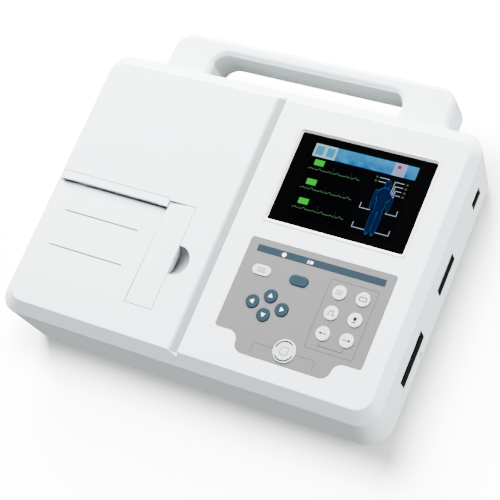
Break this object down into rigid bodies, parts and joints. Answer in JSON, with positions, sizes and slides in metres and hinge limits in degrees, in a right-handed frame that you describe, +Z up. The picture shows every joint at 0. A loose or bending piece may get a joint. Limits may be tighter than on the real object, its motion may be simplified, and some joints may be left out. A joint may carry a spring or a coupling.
{
  "type": "ecg machine",
  "caption": "Portable electrocardiograph: flat case with screen, keypad of pressing keys, hinged paper door over a thermal chart printer, side sockets and a rear carrying handle",
  "frame": {"origin": "on the table, under the middle of the outline, handle included", "axes": "X to the user's right, Y away from the user towards the handle, Z up"},
  "size_m": [0.3272, 0.2739, 0.0646],
  "materials": {
    "case_white": "satin moulded plastic, cool white",
    "bay_grey": "fine matt moulded plastic, light grey",
    "window_black": "gloss black printed window",
    "screen_frame": "dark moulded frame",
    "overlay_grey": "printed film with a fine matt texture",
    "key_white": "satin moulded plastic",
    "key_blue": "satin moulded plastic, blue grey",
    "steel": "turned bright steel",
    "sheet_steel": "zinc plated sheet",
    "plated_shell": "nickel plated",
    "rubber_black": "ground rubber",
    "gear_plastic": "natural moulded gear plastic",
    "bush_brass": "sintered bearing metal",
    "board_green": "solder mask",
    "part_black": "moulded black plastic",
    "heatsink": "extruded, plain",
    "head_ceramic": "glazed ceramic strip",
    "battery_blue": "shrink film",
    "lid_white": "satin moulded plastic"
  },
  "bodies": {
    "case": {"battery_lid": "lid_white", "battery_pack": "battery_blue", "battery_tray": "bay_grey", "board_screws": "steel", "bottom_case": "case_white", "carry_handle": "case_white", "case_screws": "steel", "feed_motor": "sheet_steel", "ground_stud": "plated_shell", "handle_screws": "steel", "head_springs": "steel", "hinge_pins": "steel", "idler_axle": "steel", "inlet_blades": "plated_shell", "key_domes": "steel", "keypad_board": "board_green", "keypad_overlay": "overlay_grey", "main_board": "board_green", "main_board_parts": "part_black", "mains_inlet": "part_black", "network_socket": "plated_shell", "paper_bay": "bay_grey", "patient_socket": "plated_shell", "patient_socket_insert": "part_black", "printer_chassis": "sheet_steel", "rubber_feet": "rubber_black", "screen_bezel": "case_white", "screen_module": "screen_frame", "screen_window": "window_black", "serial_socket": "plated_shell", "serial_socket_insert": "part_black", "speaker": "part_black", "supply_board": "board_green", "supply_parts": "part_black", "tear_bar": "case_white", "top_cover": "case_white"},
    "door": {"paper_door": "case_white", "platen_bushes": "bush_brass"},
    "platen": {"platen_shaft": "steel", "platen_sleeve": "rubber_black", "platen_gear": "gear_plastic"},
    "idler": {"idler_gear": "gear_plastic"},
    "pinion": {"motor_pinion": "gear_plastic", "motor_spindle": "steel"},
    "head": {"print_head": "head_ceramic", "head_heatsink": "heatsink"},
    "key_down": {"key_down": "key_blue"},
    "key_left": {"key_left": "key_blue"},
    "key_menu": {"key_menu": "key_white"},
    "key_mode": {"key_mode": "key_blue"},
    "key_right": {"key_right": "key_blue"},
    "key_row1_left": {"key_row1_left": "key_white"},
    "key_row1_right": {"key_row1_right": "key_white"},
    "key_row2_left": {"key_row2_left": "key_white"},
    "key_row2_right": {"key_row2_right": "key_white"},
    "key_row3_left": {"key_row3_left": "key_white"},
    "key_row3_right": {"key_row3_right": "key_white"},
    "key_start": {"key_start": "key_white"},
    "key_up": {"key_up": "key_blue"}
  },
  "joints": [
    {"name": "door_hinge", "type": "hinge", "parent": "case", "child": "door", "pos_m": [-0.108, -0.11375, 0.054], "axis": [1, 0, 0], "range_deg": [0, 80]},
    {"name": "platen_spin", "type": "hinge", "parent": "door", "child": "platen", "pos_m": [-0.108, -0.0259, 0.05], "axis": [1, 0, 0], "continuous": true},
    {"name": "idler_spin", "type": "hinge", "parent": "case", "child": "idler", "pos_m": [-0.053, -0.0259, 0.0332], "axis": [1, 0, 0], "continuous": true},
    {"name": "pinion_spin", "type": "hinge", "parent": "case", "child": "pinion", "pos_m": [-0.053, -0.04018, 0.028], "axis": [1, 0, 0], "continuous": true},
    {"name": "head_tilt", "type": "hinge", "parent": "case", "child": "head", "pos_m": [-0.108, -0.0176, 0.043], "axis": [1, 0, 0], "range_deg": [-1.2, 0], "stiffness_Nm_per_rad": 2},
    {"name": "key_down_press", "type": "slide", "parent": "case", "child": "key_down", "axis": [0, 0, -1], "range_m": [0, 0.0004], "stiffness_N_per_m": 400},
    {"name": "key_left_press", "type": "slide", "parent": "case", "child": "key_left", "axis": [0, 0, -1], "range_m": [0, 0.0004], "stiffness_N_per_m": 400},
    {"name": "key_menu_press", "type": "slide", "parent": "case", "child": "key_menu", "axis": [0, 0, -1], "range_m": [0, 0.0004], "stiffness_N_per_m": 400},
    {"name": "key_mode_press", "type": "slide", "parent": "case", "child": "key_mode", "axis": [0, 0, -1], "range_m": [0, 0.0004], "stiffness_N_per_m": 400},
    {"name": "key_right_press", "type": "slide", "parent": "case", "child": "key_right", "axis": [0, 0, -1], "range_m": [0, 0.0004], "stiffness_N_per_m": 400},
    {"name": "key_row1_left_press", "type": "slide", "parent": "case", "child": "key_row1_left", "axis": [0, 0, -1], "range_m": [0, 0.0004], "stiffness_N_per_m": 400},
    {"name": "key_row1_right_press", "type": "slide", "parent": "case", "child": "key_row1_right", "axis": [0, 0, -1], "range_m": [0, 0.0004], "stiffness_N_per_m": 400},
    {"name": "key_row2_left_press", "type": "slide", "parent": "case", "child": "key_row2_left", "axis": [0, 0, -1], "range_m": [0, 0.0004], "stiffness_N_per_m": 400},
    {"name": "key_row2_right_press", "type": "slide", "parent": "case", "child": "key_row2_right", "axis": [0, 0, -1], "range_m": [0, 0.0004], "stiffness_N_per_m": 400},
    {"name": "key_row3_left_press", "type": "slide", "parent": "case", "child": "key_row3_left", "axis": [0, 0, -1], "range_m": [0, 0.0004], "stiffness_N_per_m": 400},
    {"name": "key_row3_right_press", "type": "slide", "parent": "case", "child": "key_row3_right", "axis": [0, 0, -1], "range_m": [0, 0.0004], "stiffness_N_per_m": 400},
    {"name": "key_start_press", "type": "slide", "parent": "case", "child": "key_start", "axis": [0, 0, -1], "range_m": [0, 0.0004], "stiffness_N_per_m": 400},
    {"name": "key_up_press", "type": "slide", "parent": "case", "child": "key_up", "axis": [0, 0, -1], "range_m": [0, 0.0004], "stiffness_N_per_m": 400}
  ],
  "couplings": [
    {"joint": "idler_spin", "follows": "platen_spin", "ratio": -0.75},
    {"joint": "pinion_spin", "follows": "platen_spin", "ratio": 1.2857}
  ]
}
